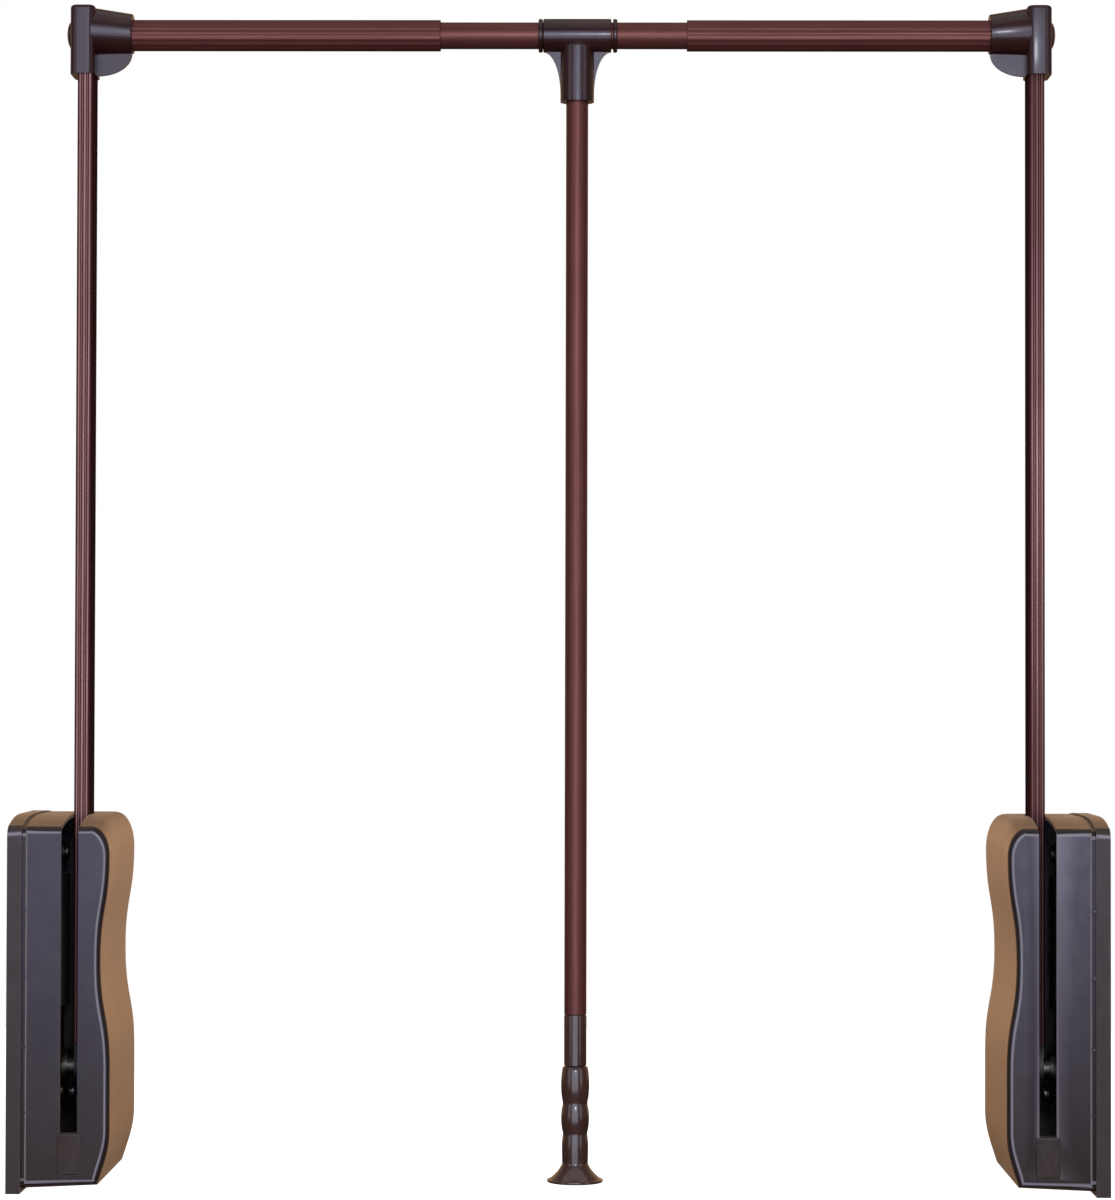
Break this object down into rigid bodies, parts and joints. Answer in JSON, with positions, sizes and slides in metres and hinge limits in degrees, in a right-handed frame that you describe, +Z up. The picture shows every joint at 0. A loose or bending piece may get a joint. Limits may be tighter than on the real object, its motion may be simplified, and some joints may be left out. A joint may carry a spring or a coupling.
{
  "type": "pull down closet rod",
  "caption": "Pull down closet rod: two wall housings with sprung swing arms, a telescopic hanging rod between them, and a pull pole on a free-turning tee.",
  "frame": {"origin": "midway between the two wall faces and between front and back, level with the bottom of the housings", "axes": "+X from the left wall to the right wall, +Y to the back of the closet, +Z up"},
  "size_m": [0.776, 0.144, 0.85],
  "materials": {
    "housing_plastic": "fine satin grain, dark grey brown",
    "buffer_rubber": "matt dark brown",
    "gloss_plastic": "glossy dark brown moulding",
    "brown_aluminium": "satin red brown anodised and drawn lengthwise",
    "plated_steel": "zinc plated",
    "dark_steel": "black satin paint",
    "nylon": "dark natural moulding"
  },
  "bodies": {
    "left_housing": {"left_base_tray": "housing_plastic", "left_side_cover": "housing_plastic", "left_stop_buffer": "buffer_rubber", "left_mechanism_bracket": "plated_steel", "left_bracket_screw_upper": "plated_steel", "left_bracket_screw_lower": "plated_steel", "left_pivot_bolt": "plated_steel", "left_pivot_nut": "plated_steel", "left_pivot_bush": "dark_steel", "left_strut_anchor_pin": "plated_steel"},
    "right_housing": {"right_base_tray": "housing_plastic", "right_side_cover": "housing_plastic", "right_stop_buffer": "buffer_rubber", "right_mechanism_bracket": "plated_steel", "right_bracket_screw_upper": "plated_steel", "right_bracket_screw_lower": "plated_steel", "right_pivot_bolt": "plated_steel", "right_pivot_nut": "plated_steel", "right_pivot_bush": "dark_steel", "right_strut_anchor_pin": "plated_steel"},
    "left_arm": {"left_arm_foot": "plated_steel", "left_foot_rivet": "plated_steel", "left_crank_lever": "plated_steel", "left_crank_pin": "plated_steel", "left_arm_tube": "brown_aluminium", "left_corner_connector": "gloss_plastic", "left_connector_cap": "gloss_plastic", "left_connector_bolt": "plated_steel", "left_rod_plug": "nylon", "left_outer_tube": "brown_aluminium"},
    "right_arm": {"right_arm_foot": "plated_steel", "right_foot_rivet": "plated_steel", "right_crank_lever": "plated_steel", "right_crank_pin": "plated_steel", "right_arm_tube": "brown_aluminium", "right_corner_connector": "gloss_plastic", "right_connector_cap": "gloss_plastic", "right_connector_bolt": "plated_steel", "right_rod_plug": "nylon", "right_outer_tube": "brown_aluminium"},
    "rod_centre": {"inner_tube": "brown_aluminium", "tee_ring_left": "gloss_plastic", "tee_ring_right": "gloss_plastic"},
    "pull_pole": {"tee_connector": "gloss_plastic", "tee_screw": "plated_steel", "pole_tube": "brown_aluminium", "handle_ferrule": "gloss_plastic", "handle_grip": "gloss_plastic"},
    "left_strut_body": {"left_strut_barrel": "dark_steel"},
    "left_strut_piston": {"left_strut_rod": "plated_steel"},
    "right_strut_body": {"right_strut_barrel": "dark_steel"},
    "right_strut_piston": {"right_strut_rod": "plated_steel"}
  },
  "joints": [
    {"name": "width_adjust", "type": "slide", "parent": "left_housing", "child": "right_housing", "axis": [1, 0, 0], "range_m": [-0.116, 0.104]},
    {"name": "left_arm_swing", "type": "hinge", "parent": "left_housing", "child": "left_arm", "pos_m": [-0.344, 0, 0.082], "axis": [1, 0, 0], "range_deg": [0, 109], "stiffness_Nm_per_rad": 1.3, "springref_deg": -171.89},
    {"name": "right_arm_swing", "type": "hinge", "parent": "right_housing", "child": "right_arm", "pos_m": [0.344, 0, 0.082], "axis": [1, 0, 0], "range_deg": [0, 109], "stiffness_Nm_per_rad": 1.3, "springref_deg": -171.89},
    {"name": "rod_centre_slide", "type": "slide", "parent": "left_arm", "child": "rod_centre", "axis": [1, 0, 0], "range_m": [-0.068, 0.061]},
    {"name": "pole_swing", "type": "hinge", "parent": "rod_centre", "child": "pull_pole", "pos_m": [0.01205, 0, 0.83], "axis": [1, 0, 0], "continuous": true},
    {"name": "left_strut_tilt", "type": "hinge", "parent": "left_housing", "child": "left_strut_body", "pos_m": [-0.364, 0.018, 0.236], "axis": [1, 0, 0], "range_deg": [0, 2.4]},
    {"name": "left_strut_stroke", "type": "slide", "parent": "left_strut_body", "child": "left_strut_piston", "axis": [0, 0.0234, 0.9997], "range_m": [0, 0.0391]},
    {"name": "right_strut_tilt", "type": "hinge", "parent": "right_housing", "child": "right_strut_body", "pos_m": [0.364, 0.018, 0.236], "axis": [1, 0, 0], "range_deg": [0, 2.4]},
    {"name": "right_strut_stroke", "type": "slide", "parent": "right_strut_body", "child": "right_strut_piston", "axis": [0, 0.0234, 0.9997], "range_m": [0, 0.0391]}
  ],
  "couplings": [
    {"joint": "right_arm_swing", "follows": "left_arm_swing", "ratio": 1},
    {"joint": "rod_centre_slide", "follows": "width_adjust", "ratio": 0.585},
    {"joint": "left_strut_tilt", "follows": "left_arm_swing", "ratio": 0.0216},
    {"joint": "left_strut_stroke", "follows": "left_arm_swing", "m_per_rad": 0.020534},
    {"joint": "right_strut_tilt", "follows": "left_arm_swing", "ratio": 0.0216},
    {"joint": "right_strut_stroke", "follows": "left_arm_swing", "m_per_rad": 0.020534}
  ]
}
